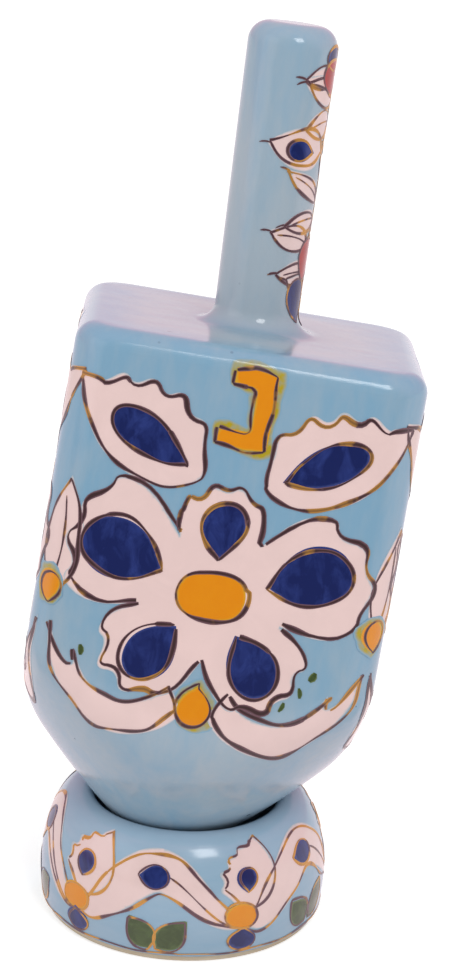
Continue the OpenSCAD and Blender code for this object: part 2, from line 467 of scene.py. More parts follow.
class Canvas:
    """Painted shapes on one surface, kept in one mesh for each pigment."""
    # Heights of the pigments above the skin, and their thickness
    LIFTS = {
        "halo": 0.018, "white": 0.034, "orange": 0.05, "green": 0.056, "cobalt": 0.062, "red": 0.068, "line": 0.085}
    THICK = 0.05
    # Each shape lies a hair above the one before, in turns of seven, so that no two lie in one plane
    HAIR, HAIR_TURNS = 0.0018, 7
    # Each field's cuts start a little further on, in turns of five, so that no two are cut at the same places
    CUT_START, CUT_SHIFT, CUT_TURNS = 0.013, 0.031, 5
    # Width over which a field thins out towards its edge
    FADE = 0.75
    # How quickly a brush line swells and thins, and how quickly a traced edge strays, from place to place
    SWELL_PACE, STRAY_PACE = 0.12, 0.07
    # Share of a halo's width over which it stays strong
    HALO_FULL = 0.55
    # How far the outline of a white field lies inside its edge
    WHITE_INSET = 0.24
    # Turn, in radians, at which a traced edge breaks off
    SHARP_TURN = 0.9

    def __init__(self, surface, seed, cell=0.8, load=1.0):
        """Cell is the width of a field's facets, and load is how full of pigment the line brush is."""
        self.surface, self.cell, self.load = surface, cell, load
        # How much higher than usual the shapes lie, where they cross many others
        self.over = 0.0
        self.chance = random.Random(seed)
        self.meshes = {}
        self.laid = 0

    @staticmethod
    def sheet():
        """A new flat mesh that records how strong the pigment is, vertex by vertex."""
        bm = bmesh.new()
        bm.verts.layers.float.new("paint_strength")
        return bm

    def _keep(self, flat, pigment):
        """Lays a flat mesh on the surface, closes it downwards into the skin and keeps it."""
        self.laid += 1
        lift = self.LIFTS[pigment] + self.over + self.HAIR * (self.laid % self.HAIR_TURNS)
        thick = self.THICK + self.over
        everything = flat.faces[:] + flat.edges[:] + flat.verts[:]
        made = bmesh.ops.extrude_face_region(flat, geom=everything, use_keep_orig=True)
        raised = {v for v in made["geom"] if isinstance(v, bmesh.types.BMVert)}
        for vert in flat.verts:
            place = vert.co
            vert.co = lifted(self.surface, place.x, place.y, lift if vert in raised else lift - thick)
        for edge in flat.edges:
            # The rims of the upper and the lower side stay sharp
            if len({v in raised for v in edge.verts}) == 1:
                level = {len({v in raised for v in f.verts}) == 1 for f in edge.link_faces}
                edge.smooth = len(level) == 1
        mesh = bpy.data.meshes.new("paint")
        flat.to_mesh(mesh)
        flat.free()
        if pigment not in self.meshes:
            self.meshes[pigment] = self.sheet()
        self.meshes[pigment].from_mesh(mesh)
        bpy.data.meshes.remove(mesh)

    def patch(self, line, pigment):
        """A filled field of one pigment inside a closed line."""
        flat = self.sheet()
        flat.faces.new([flat.verts.new((q.x, q.y, 0)) for q in line])
        for axis in (0, 1):
            low, high = min(q[axis] for q in line), max(q[axis] for q in line)
            normal = Vector((1 - axis, axis, 0))
            cut = math.ceil(low / self.cell) * self.cell + self.CUT_START
            cut += self.CUT_SHIFT * (self.laid % self.CUT_TURNS)
            while cut < high:
                everything = flat.verts[:] + flat.edges[:] + flat.faces[:]
                bmesh.ops.bisect_plane(flat, geom=everything, dist=1e-4, plane_co=normal * cut, plane_no=normal)
                cut += self.cell
        edge = KDTree(len(line))
        for i, q in enumerate(line):
            edge.insert((q.x, q.y, 0), i)
        edge.balance()
        strength = flat.verts.layers.float["paint_strength"]
        for vert in flat.verts:
            vert[strength] = 0 if vert.is_boundary else min(edge.find(vert.co)[2] / self.FADE, 1)
        self._keep(flat, pigment)

    def band(self, count, rows, placed, pigment):
        """Lays a band of vertices. A function puts each in place, given its column and its way across, -1 to 1."""
        flat = self.sheet()
        strength = flat.verts.layers.float["paint_strength"]
        bmesh.ops.create_grid(flat, x_segments=count, y_segments=rows, size=1)
        for vert in flat.verts:
            place, vert[strength] = placed(round((vert.co.x + 1) / 2 * count), vert.co.y)
            vert.co = (*place, 0)
        if pigment == "halo":
            # Its two ends are the same place
            bmesh.ops.remove_doubles(flat, verts=flat.verts[:], dist=1e-4)
            bmesh.ops.reverse_faces(flat, faces=flat.faces[:])
        self._keep(flat, pigment)

    def stroke(self, line, width, pigment="line", ends=0.3):
        """A brush line that swells and thins along an open line. Ends is the share of its width that it starts with."""
        if len(line) < 3:
            return
        count = len(line) - 1
        phase = self.chance.uniform(0, 50)

        def placed(i, across):
            side = left_of((line[min(i + 2, count)] - line[max(i - 2, 0)]).normalized())
            taper = min(1, (ends + min(i / count, 1 - i / count) * 9))
            swell = max(0.8 + 0.75 * noise.noise(Vector((i * self.SWELL_PACE, phase, 0))), 0.3)
            return line[i] + side * across * width / 2 * taper * swell, (1 - abs(across)) * self.load

        self.band(count, 2, placed, pigment)

    def halo(self, line, inner, outer):
        """A soft border of yellow green round a closed line, from a little inside it, fading outwards."""
        count = len(line)
        phase = self.chance.uniform(0, 50)

        def placed(i, across):
            i, share = i % count, (across + 1) / 2
            out = -left_of(line[(i + 3) % count] - line[i - 3]).normalized()
            way = i / count * 6.283
            uneven = noise.noise(Vector((math.cos(way) * 1.6, math.sin(way) * 1.6, phase)))
            reach = inner + max(outer * (0.75 + 0.9 * uneven), 0.3)
            full = self.HALO_FULL
            strength = 1 if share < full else 1 - ((share - full) / (1 - full)) ** 1.5
            return line[i] + out * (-inner + reach * share), strength

        self.band(count, 5, placed, "halo")

    def outline(self, line, width, stray, inset=0.0):
        """Traces a field's edge by hand, a little off it, broken where it turns sharply."""
        count = len(line)
        phase = self.chance.uniform(0, 50)
        way = self.chance.uniform(0, 2 * math.pi)
        shift = Vector((math.cos(way), math.sin(way))) * stray * self.chance.uniform(0.35, 0.75)
        drawn = []
        for i, q in enumerate(line):
            side = left_of(line[(i + 1) % count] - line[i - 1]).normalized()
            off = inset + stray * 1.4 * noise.noise(Vector((i * self.STRAY_PACE, phase, 3)))
            drawn.append(q + shift + side * off)
        start = self.chance.randrange(count)
        drawn = drawn[start:] + drawn[:start]
        # The brush runs on a little past the place where it started, and beside it
        drawn += [q + shift * 0.15 for q in drawn[:3]]
        run = [drawn[0]]
        for i in range(1, len(drawn) - 1):
            run.append(drawn[i])
            back = drawn[i] - drawn[i - 1]
            wide = drawn[min(i + 2, len(drawn) - 1)] - drawn[i]
            if back.length > 1e-6 and wide.length > 1e-6 and back.angle(wide) > self.SHARP_TURN:
                self.stroke(run, width, ends=0.75)
                run = [drawn[i]]
        run.append(drawn[-1])
        self.stroke(run, width)

    def shape(self, corners, pigment, width, stray, rounds=3):
        """A painted field with its outline."""
        line = flowing(corners, rounds=rounds)
        self.patch(line, pigment)
        self.outline(line, width, stray, self.WHITE_INSET if pigment == "white" else 0.0)

    def finish(self, name, body, finishes, placing=Matrix.Identity(4), line="line"):
        """Makes one piece of each pigment. Its lines get the finish of that name."""
        for pigment, bm in sorted(self.meshes.items()):
            finish = finishes[line if pigment == "line" else pigment]
            add_piece(f"{name}_{pigment}", bm, body, finish, placing)


def moved(corners, place=(0, 0), turn=0.0, scale=(1, 1)):
    """A flat shape set down elsewhere, turned and stretched."""
    c, s = math.cos(math.radians(turn)), math.sin(math.radians(turn))
    wide, tall = scale
    return [(place[0] + x * wide * c - y * tall * s, place[1] + x * wide * s + y * tall * c) for x, y in corners]


# Motifs, each drawn once about its own foot, pointing up
DROP = [(0, 0), (0, 0), (1.5, 1.8), (2.0, 4.0), (1.3, 6.2), (0, 6.9), (-1.4, 6.1), (-2.0, 3.9), (-1.4, 1.8)]
LEAF = [
    (0, 0), (0, 0), (2.4, 2.4), (3.3, 6.2), (2.4, 10.2), (0, 14.2), (0, 14.2), (-2.2, 10.4), (-2.9, 6.2), (-2.2, 2.4)]
LEAF_LENGTH = 14.2
SCALLOPED_LEAF = [
    (-0.8, 0), (0.8, 0), (3.0, 2.4), (4.2, 6.4), (4.0, 11.0), (2.0, 15.8), (0.6, 18.2), (0.6, 18.2), (-0.6, 15.6),
    (-0.4, 15.0), (-2.6, 14.2), (-2.0, 12.4), (-4.0, 11.4), (-3.0, 9.2), (-4.8, 8.0), (-3.4, 5.8), (-4.2, 3.8),
    (-2.4, 2.4)]
SCROLL = [
    (0, 0.4), (0.6, -0.8), (3.2, -2.8), (8.2, -4.3), (13.4, -3.7), (17.6, -0.2), (19.8, 5.4), (20.0, 8.6),
    (20.0, 8.6), (18.0, 5.2), (15.6, 3.2), (15.8, 5.6), (15.8, 5.6), (13.4, 1.6), (8.6, 0.2), (4.4, 1.2),
    (2.0, 3.4), (2.0, 3.4)]
FLECK = [(0, -0.7), (0.1, -0.2), (0.1, 0.3), (0, 0.8)]
BUD = [(2.6, 0), (1.9, 1.7), (0, 2.3), (-1.9, 1.7), (-2.6, 0), (-1.9, -1.7), (0, -2.3), (1.9, -1.7)]
HEART = [(5.1, 0.4), (3.9, 3.0), (0, 3.8), (-4.0, 3.1), (-5.2, -0.2), (-3.6, -3.0), (0.4, -3.7), (3.9, -2.7)]
# Three scallops round the end of a petal: shares of half its width and of its reach
SCALLOPS = (
    (-0.92, 0.8), (-0.62, 1.0), (-0.42, 0.93), (-0.2, 1.08), (0.04, 0.98), (0.24, 1.1), (0.5, 0.95), (0.7, 1.0),
    (0.95, 0.8))
# The blossom's petals: turn, reach and half the width in degrees
PETALS = ((2, 15.0, 33), (-70, 21.6, 35), (-139, 17.2, 34), (-221, 17.2, 34), (-290, 21.6, 35))
# The four letters, each as its closed outlines
LETTERS = [
    [[(-2.2, 11.4), (0.4, 11.6), (3.4, 11.0), (3.5, 8.0), (3.3, -0.1), (0.4, -0.4), (-3.4, 0.2), (-3.3, 2.5),
      (0.4, 2.3), (0.9, 2.7), (0.8, 8.3), (0.3, 8.8), (-2.3, 9.1)]],
    [[(-1.9, 11.5), (2.4, 11.3), (2.6, 4.6), (3.5, 0.1), (1.0, -0.1), (0.5, 3.0), (-1.9, -0.1), (-3.5, 1.7),
      (-0.1, 5.6), (0, 8.9), (-1.9, 9.1)]],
    [[(-3.7, 11.2), (0, 11.6), (3.7, 11.2), (3.8, 0), (1.3, -0.1), (1.2, 8.7), (-3.6, 8.9)],
     [(-3.4, 6.8), (-1.1, 6.9), (-1.0, -0.1), (-3.3, 0.1)]],
    [[(-4.5, 11.1), (-2.4, 11.4), (-1.9, 4.0), (-1.1, 3.2), (-1.1, 11.2), (1.1, 11.3), (1.1, 3.2), (1.9, 4.0),
      (2.4, 11.4), (4.5, 11.1), (3.3, 0.1), (0, -0.3), (-3.2, 0)]],
]


def blunt(corners):
    """Doubles every corner, so that softening only rounds it a little."""
    return [q for c in corners for q in (c, c)]


def ahead(foot, turn, run):
    """A place that lies straight on from a motif's foot."""
    return foot[0] - math.sin(math.radians(turn)) * run, foot[1] + math.cos(math.radians(turn)) * run


def dab(canvas, foot, turn, wide, tall, pigment, width=0.5, stray=0.35):
    """A drop of colour. Its outline runs a little off it."""
    canvas.shape(moved(DROP, foot, turn + canvas.chance.uniform(-8, 8), (wide, tall)), pigment, width, stray)


def leaf(canvas, foot, turn, wide, tall, pigment="white", heart=None, vein=False, width=0.55):
    """A leaf with its outline, perhaps with a drop of colour in its heart or a curved middle vein."""
    canvas.shape(moved(LEAF, foot, turn, (wide, tall)), pigment, width, 0.5)
    reach = LEAF_LENGTH * tall
    if heart:
        dab(canvas, ahead(foot, turn, 0.24 * reach), turn, reach * 0.088, reach * 0.064, heart, width * 0.9)
    if vein:
        bends = ((0, 0.12), (0.5, 0.36), (0.3, 0.62), (-0.3, 0.82))
        line = moved([(wide * across, reach * up) for across, up in bends], foot, turn)
        canvas.stroke(flowing(line, closed=False), width * 0.7)


def glowing(canvas, corners, width=0.5, bleed=1.5):
    """An orange field with its outline and a soft yellow green border."""
    ring = flowing(corners)
    canvas.halo(ring, 0.4, bleed)
    canvas.patch(ring, "orange")
    canvas.outline(ring, width, 0.5)


def flower(canvas, centre):
    """A broad blossom: one white field with a scalloped edge, a cobalt drop in each petal and an orange heart."""
    rim = []
    for k, (turn, reach, half) in enumerate(PETALS):
        for share, out in SCALLOPS:
            rim.append(ahead(centre, turn - share * half, reach * out * (1 + canvas.chance.uniform(-0.03, 0.03))))
        # A notch before the next petal
        next_turn, next_reach, _ = PETALS[(k + 1) % len(PETALS)]
        rim += [ahead(centre, turn + (next_turn - turn) % -360 / 2, 0.42 * (reach + next_reach) / 2 + 2.2)] * 2
    canvas.shape(rim, "white", 0.74, 0.6, rounds=2)
    for turn, reach, _ in PETALS:
        dab(canvas, ahead(centre, turn, reach * 0.37), turn, reach * 0.108, reach * 0.084, "cobalt", 0.72, 0.5)
    glowing(canvas, moved(HEART, centre, 4), 0.74, 1.8)


def letter(canvas, place, outlines):
    """A block letter in orange, with a yellow green halo and a thin brown outline."""
    for outline in outlines:
        ring = flowing(blunt(moved(outline, place, 0, (1.06, 0.96))), rounds=2, step=0.35)
        canvas.halo(ring, 0.3, 1.5)
        canvas.patch(ring, "orange")
        canvas.outline(ring, 0.58, 0.45)


def painted_face(canvas, turn, at):
    """One face of the body, from its letter down to the scrolls above the cone, and the edge to the right of it."""
    middle = at.side * turn
    chance = canvas.chance
    for side in (-1, 1):
        lean = -side * (56 + chance.uniform(-3, 3))
        foot = (middle + side * 4.6, 62.6)
        canvas.shape(moved(SCALLOPED_LEAF, foot, lean, (side * 1.6, 1.27)), "white", 0.74, 0.6)
        dab(canvas, ahead(foot, lean, 2.6), lean - side * 3, 1.5, 1.9, "cobalt", 0.66, 0.45)
        scroll = moved(SCROLL, (middle + side * 1.8, 28.8), side * chance.uniform(-2, 3), (side * 1.04, 1.16))
        canvas.shape(scroll, "white", 0.7, 0.7)
    flower(canvas, (middle - 0.3, 46.2))
    edge = middle + at.side / 2
    leaf(canvas, (edge + 0.6, 43.0), chance.uniform(-8, 4), 1.15, 1.2, vein=True, width=0.62)
    canvas.over = 0.08
    glowing(canvas, moved(DROP, (edge + 0.3, 41.6), chance.uniform(-12, 12), (1.1, 0.7)), 0.45, 1.1)
    canvas.over = 0.0
    glowing(canvas, moved(DROP, (middle + 0.2, 33.4), 180 + chance.uniform(-6, 6), (1.3, 0.95)), 0.5, 1.3)
    for across, up, wide in ((15.6, 37.2, 1.25), (14.2, 34.6, 0.8), (12.0, 32.2, 0.9), (-17.2, 35.8, 0.9)):
        fleck = moved(FLECK, (middle + across, up), chance.uniform(-50, 20))
        canvas.stroke([Vector(q) for q in fleck], wide, "green", ends=0.5)
    letter(canvas, (middle + 0.3, 68.0), LETTERS[turn])


def painted_stem(canvas):
    """A vine up the right side of the stem: slender leaves to both sides, one pair with cobalt hearts, and berries."""
    foot, pace = 3.6, 2.65

    def across(bend):
        """How far to the right the vine runs at one of its bends."""
        return 8.6 + 0.9 * math.sin(bend * 1.3)

    vine = [(across(bend), foot + bend * pace) for bend in range(15)]
    canvas.stroke(flowing(vine, closed=False, rounds=2), 0.6)
    # Height, lean, width and length of each pair of leaves, and the drop of colour in them
    for height, lean, wide, tall, heart in (
        (5.2, 62, 0.74, 0.46, None), (8.8, 92, 0.7, 0.52, None), (13.0, 78, 0.72, 0.56, None),
        (17.0, 100, 0.58, 0.5, None), (18.8, 62, 0.54, 0.66, None), (26.0, 84, 1.08, 0.68, "cobalt"),
        (31.0, 106, 0.7, 0.46, None), (33.8, 62, 0.72, 0.56, None), (37.2, 96, 0.6, 0.42, None),
    ):
        for side, rise in ((1, 0), (-1, 1.6)):
            place = (across((height - foot) / pace), height + rise)
            turn = side * (lean + canvas.chance.uniform(-7, 7))
            leaf(canvas, place, turn, wide * side, tall, heart=heart, vein=not heart, width=0.5)
            # The brush runs on past the tip
            tip = ahead(place, turn, LEAF_LENGTH * tall)
            canvas.stroke([Vector(ahead(tip, turn + 5 * side * j, 0.42 * j - 0.6)) for j in range(5)], 0.4)
    canvas.over = 0.05
    # Place, turn, width and length of each berry
    for place, turn, wide, tall, pigment in (
        ((6.9, 1.8), 12, 1.15, 0.95, "cobalt"), ((7.0, 7.6), -16, 1.3, 0.95, "red"),
        ((8.6, 5.2), -40, 0.9, 0.65, "red"), ((10.6, 0.9), -10, 0.9, 0.8, "cobalt"),
        ((7.8, 34.2), 8, 1.3, 0.8, "red"), ((8.0, 38.0), 14, 1.05, 0.56, "cobalt"),
        ((11.2, 22.4), -20, 0.8, 0.5, "red"),
    ):
        dab(canvas, place, turn, wide, tall, pigment, 0.36)
    canvas.over = 0.0


def ribbon(canvas, start, pace, depth):
    """A white ribbon on the stand that arches up between two places, with a thin line drawn along it."""
    steps = 16
    spine = []
    for j in range(steps + 1):
        across = start + pace * (0.02 + 0.98 * j / steps)
        spine.append(Vector((across, 9.4 - depth * math.cos(2 * math.pi * j / steps))))
    upper, lower = [], []
    for j, q in enumerate(spine):
        way = (spine[min(j + 1, steps)] - spine[max(j - 1, 0)]).normalized()
        half = (0.5 + 2.9 * math.sin(math.pi * (j / steps) ** 0.75) ** 0.8) * left_of(way)
        upper.append(q + half)
        lower.append(q - half)
    canvas.shape(upper + lower[::-1], "white", 0.5, 0.6, rounds=2)
    canvas.stroke(flowing([q - Vector((0, 0.5)) for q in spine[9:-1]], closed=False), 0.36)


def painted_stand(canvas, at):
    """A garland round the stand: arched white ribbons, cobalt drops, orange buds and green leaves."""
    repeats = 5
    pace = at.girth / repeats
    chance = canvas.chance
    for k in range(repeats):
        start = pace * (k + 0.36)
        ribbon(canvas, start, pace, 4.3 + 0.6 * (k % 2))
        low_leaf = moved(SCALLOPED_LEAF, (start + 0.4, 7.4), -chance.uniform(6, 16), (1.15, 0.62))
        canvas.shape(low_leaf, "white", 0.45, 0.5)
        canvas.over = 0.05
        for across, climb, turn, wide, tall, width in (
            (pace * 0.4, 12.6, -84, 0.95, 0.72, 0.4), (0.8, 10.0, -8, 0.9, 0.56, 0.38),
            (0.2, 4.8, 180, 1.2, 0.55, 0.38),
        ):
            dab(canvas, (start + across, climb), turn, wide, tall, "cobalt", width)
        canvas.shape(moved(BUD, (start, 6.4), chance.uniform(-14, 14), (1.1, 0.92)), "orange", 0.42, 0.4)
        canvas.over = 0.0
        for across, climb, turn, tall, width in ((-0.4, 1.4, 40, 0.42, 0.45), (0.6, 1.5, -46, 0.46, 0.35)):
            foot = (start + pace * 0.5 + across, climb)
            leaf(canvas, foot, turn + chance.uniform(-6, 6), 0.72, tall, "green", width=width)
    steps = 280
    foot_line = [Vector((at.girth * k / steps, 0.7 + 0.1 * math.sin(k * 0.3))) for k in range(steps + 1)]
    canvas.stroke(foot_line, 0.32, ends=1)


# Materials

# Surface of fired clear glaze
GLAZE_GLOSS = {"Roughness": 0.15, "IOR": 1.52}
# Names of the materials by what they cover
FINISHES = {
    "dreidel": "blue glaze, dreidel", "stand": "blue glaze, stand", "clay": "bare fired clay",
    "white": "white slip under glaze", "cobalt": "cobalt under glaze", "orange": "orange stain under glaze",
    "halo": "yellow green halo under glaze", "green": "leaf green under glaze", "red": "brick red under glaze",
    "line": "gold lustre line", "gilded_with_glints": "gold lustre line, gilded",
}


def add_node(tree, kind, inputs=(), **settings):
    """Adds a node with its settings. Its inputs, by name or in order, are values, sockets or nodes,
    and a node stands for the first of its outputs."""
    new = tree.nodes.new("ShaderNode" + kind)
    for name, value in settings.items():
        setattr(new, name, value)
    sockets = [socket for socket in new.inputs if socket.enabled]
    for key, value in inputs.items() if isinstance(inputs, dict) else enumerate(inputs):
        socket = sockets[key] if isinstance(key, int) else next(s for s in sockets if s.name == key)
        if isinstance(value, bpy.types.Node):
            value = next(s for s in value.outputs if s.enabled)
        if isinstance(value, bpy.types.NodeSocket):
            tree.links.new(value, socket)
        elif socket.type == "RGBA":
            socket.default_value = (*value[:3], 1.0)
        else:
            socket.default_value = value
    return new


def scale_of(size):
    """Scale of a pattern whose marks are some millimetres wide."""
    return 1000 / size


def empty_tree(owner):
    """The function that adds a node, for the emptied tree of a material or a world."""
    owner.use_nodes = True
    owner.node_tree.nodes.clear()
    return partial(add_node, owner.node_tree)


def new_material(name):
    """A new material's function that adds a node, and the place on the piece from which its patterns start."""
    material = bpy.data.materials.new(name)
    node = empty_tree(material)
    return node, node("TexCoord").outputs["Object"]


def surfaced(node, inputs):
    """Ends a material with a surface of these inputs."""
    node("OutputMaterial", {"Surface": node("BsdfPrincipled", inputs)})


def brushed_glaze(name, glaze, glaze_thin, glaze_deep, turn, stretch):
    """Clear gloss glaze over sky blue laid on with a broad brush: clouds about 8 mm wide, brush marks
    about 1.2 mm wide along the form, and a few iron specks up to 0.5 mm across. The gloss is glass, IOR 1.52."""
    node, place = new_material(name)
    drawn = node("Mapping", {"Vector": place, "Rotation": turn, "Scale": stretch}, vector_type="TEXTURE")
    # Paler where the skin records thin glaze and painted light: a painted reflection over the flat top and a painted
    # lightening at the stem's root
    paleness = node("Attribute", attribute_name="glaze_thin").outputs["Fac"]
    for size, more, depth in ((8, {"Detail": 4.0, "Distortion": 0.8}, 0.28), (1.2, {"Detail": 2.0}, 0.1)):
        marks = node("TexNoise", {"Vector": drawn, "Scale": scale_of(size), **more})
        change = node("MapRange", {"Value": marks, "From Min": 0.3, "From Max": 0.7, "To Min": -depth, "To Max": depth})
        paleness = node("Math", (paleness, change), operation="ADD", use_clamp=True)
    tone = node("Mix", (paleness, glaze, glaze_thin), data_type="RGBA")
    # Darker where the skin records pooled glaze and the painted shade in the fillet's crease
    pool_and_crease_shade = node("Attribute", attribute_name="glaze_deep").outputs["Fac"]
    tone = node("Mix", (pool_and_crease_shade, tone, glaze_deep), data_type="RGBA")
    specks = node("TexVoronoi", {"Vector": place, "Scale": scale_of(5)})
    chance = node("SeparateColor", {"Color": specks.outputs["Color"]})
    speck_size = node("MapRange", {"Value": chance.outputs["Red"], "From Min": 0.4, "To Max": 0.09})
    spot = node("Math", (specks, speck_size), operation="LESS_THAN")
    faint = node("Math", (spot, chance.outputs["Green"]), operation="MULTIPLY")
    tone = node("Mix", (faint, tone, linear("#3C4A62")), data_type="RGBA")
    peel = node("TexNoise", {"Vector": place, "Scale": scale_of(5), "Detail": 2.0})
    bump = node("Bump", {"Height": peel, "Strength": 0.35, "Distance": 0.1 * MM})
    surfaced(node, {"Base Color": tone, "Normal": bump, **GLAZE_GLOSS})


def underglaze(name, edge, thick, thin, size, worn_most, stretch):
    """A pigment under clear glaze. The brush leaves it thick and thin in marks of some millimetres, stretched
    upwards, and it thins out to another colour at its edge."""
    node, place = new_material(name)
    place = node("Mapping", {"Vector": place, "Scale": (1, 1, 1 / stretch)})
    marks = node(
        "TexNoise", {"Vector": place, "Scale": scale_of(size), "Detail": 4.0, "Roughness": 0.6, "Distortion": 0.6})
    worn = node("MapRange", {"Value": marks, "From Min": 0.42, "From Max": 0.72, "To Max": worn_most})
    strength = node("Attribute", attribute_name="paint_strength").outputs["Fac"]
    ragged = node("Math", (marks, 0.8, strength), operation="MULTIPLY_ADD")
    solid = node("MapRange", {"Value": ragged, "From Min": 0.36, "From Max": 0.9}, interpolation_type="SMOOTHSTEP")
    inner = node("Mix", (worn, thick, thin), data_type="RGBA")
    surfaced(node, {"Base Color": node("Mix", (solid, edge, inner), data_type="RGBA"), **GLAZE_GLOSS})


def bled_halo(name, colours):
    """Yellow green where orange stain bled into the blue glaze: it fades over about a millimetre into the blue."""
    node, place = new_material(name)
    marks = node("TexNoise", {"Vector": place, "Scale": scale_of(1.5), "Detail": 2.0})
    strength = node("Attribute", attribute_name="paint_strength").outputs["Fac"]
    bled = node("Math", (strength, marks, -0.08), operation="MULTIPLY_ADD", use_clamp=True)
    grown = node("Math", (bled, 1.9), operation="MULTIPLY", use_clamp=True)
    tone = node("Mix", (grown, colours.glaze, colours.halo), data_type="RGBA")
    surfaced(node, {"Base Color": tone, "Roughness": 0.1, "IOR": GLAZE_GLOSS["IOR"]})


def lustre_line_with_glints(name, colours, bare, cover):
    """Purple brown brush line that washes out towards its edges, with gold along those edges in patches about 5 mm
    long: partly metallic lustre, partly painted glints. Less gold lies on it where bare is high, and cover is the brown
    left in its middle."""
    node, place = new_material(name)
    strength = node("Attribute", attribute_name="paint_strength").outputs["Fac"]
    patches = node("TexNoise", {"Vector": place, "Scale": scale_of(5), "Detail": 3.0})
    load = node("TexNoise", {"Vector": place, "Scale": scale_of(2.5), "Detail": 2.0})
    core = node("Math", (load, 1.6, 0.7), operation="MULTIPLY_ADD")
    dark = node("Math", (strength, core), operation="MULTIPLY", use_clamp=True)
    brown = node("Mix", (dark, colours.line_thin, colours.line), data_type="RGBA")
    # Gold patches along the line's edges: partly metallic lustre, partly painted glints
    gold = node(
        "MapRange", {"Value": patches, "From Min": bare, "From Max": bare + 0.08}, interpolation_type="SMOOTHSTEP")
    edge = node("Math", (strength, -cover, 1.0), operation="MULTIPLY_ADD", use_clamp=True)
    rim = node("Math", (gold, edge), operation="MULTIPLY")
    tone = node("Mix", (rim, brown, colours.lustre), data_type="RGBA")
    shine = node("Math", (rim, 0.35), operation="MULTIPLY")
    surfaced(node, {"Base Color": tone, "Metallic": shine, "Roughness": 0.25})


def fired_clay(name, clay):
    """Bare fired clay: matt, with a fine grain about 0.4 mm across and warmer clouds from the kiln."""
    node, place = new_material(name)
    grain = node("TexNoise", {"Vector": place, "Scale": scale_of(0.4), "Detail": 3.0})
    cloud = node("TexNoise", {"Vector": place, "Scale": scale_of(6), "Detail": 2.0})
    warmer = [c * f for c, f in zip(clay, (0.86, 0.76, 0.64))]
    tone = node("Mix", (cloud, clay, warmer), data_type="RGBA")
    bump = node("Bump", {"Height": grain, "Strength": 0.5, "Distance": 0.08 * MM})
    surfaced(node, {"Base Color": tone, "Normal": bump, "Roughness": 0.82})


def made_materials():
    """The materials by what they cover, made once and found again by name."""
    colours = bpy.context.scene.dreidel_colours
    found = bpy.data.materials
    if FINISHES["dreidel"] not in found:
        lean = tuple(LEAN.to_euler())
        brushed_glaze(FINISHES["dreidel"], colours.glaze, colours.glaze_thin, colours.glaze_deep, lean, (1, 1, 3.5))
        brushed_glaze(FINISHES["stand"], colours.glaze, colours.glaze_stand, colours.glaze_deep, (0, 0, 0), (4, 4, 1))
        # Pigment, colour at its edge, colour where it lies thin, width of its marks, how far they wear, their stretch
        for pigment, edge, thin, size, worn_most, stretch in (
            ("white", "#B4BEC6", [min(c * 1.08, 1) for c in colours.white], 6, 0.6, 1),
            ("cobalt", "#3A4784", colours.cobalt_thin, 2.4, 0.7, 2),
            ("orange", "#D6A22C", [c * f for c, f in zip(colours.orange, (1.03, 1.12, 1.2))], 3, 0.6, 1),
            ("green", "#6E7C50", [c * 1.9 for c in colours.green], 2, 0.7, 1),
            ("red", "#B85650", [min(c * 1.4, 1) for c in colours.red], 2, 0.7, 1),
        ):
            thick = getattr(colours, pigment)
            underglaze(FINISHES[pigment], linear(edge), thick, thin, size, worn_most, stretch)
        bled_halo(FINISHES["halo"], colours)
        lustre_line_with_glints(FINISHES["line"], colours, 0.54, 0.75)
        lustre_line_with_glints(FINISHES["gilded_with_glints"], colours, 0.47, 0.5)
        fired_clay(FINISHES["clay"], colours.clay)
    return {cover: found[name] for cover, name in FINISHES.items()}


# Operators

# Gap round the plug's shank, length of the drain hole above the plug, and depth of the vent hole
SHANK_GAP, DRAIN_LENGTH, VENT_DEPTH = 0.05, 5, 4.4
# Steps round the skin, the point and the stand
SKIN_STEPS, POINT_STEPS, STAND_STEPS = 320, 96, 240


def over_edge(start, radius, steps=10):
    """Lengths along a wall that run on over its rounded edge, from where the edge starts."""
    return [start + radius * math.pi / 2 * k / steps for k in range(1, steps + 1)]


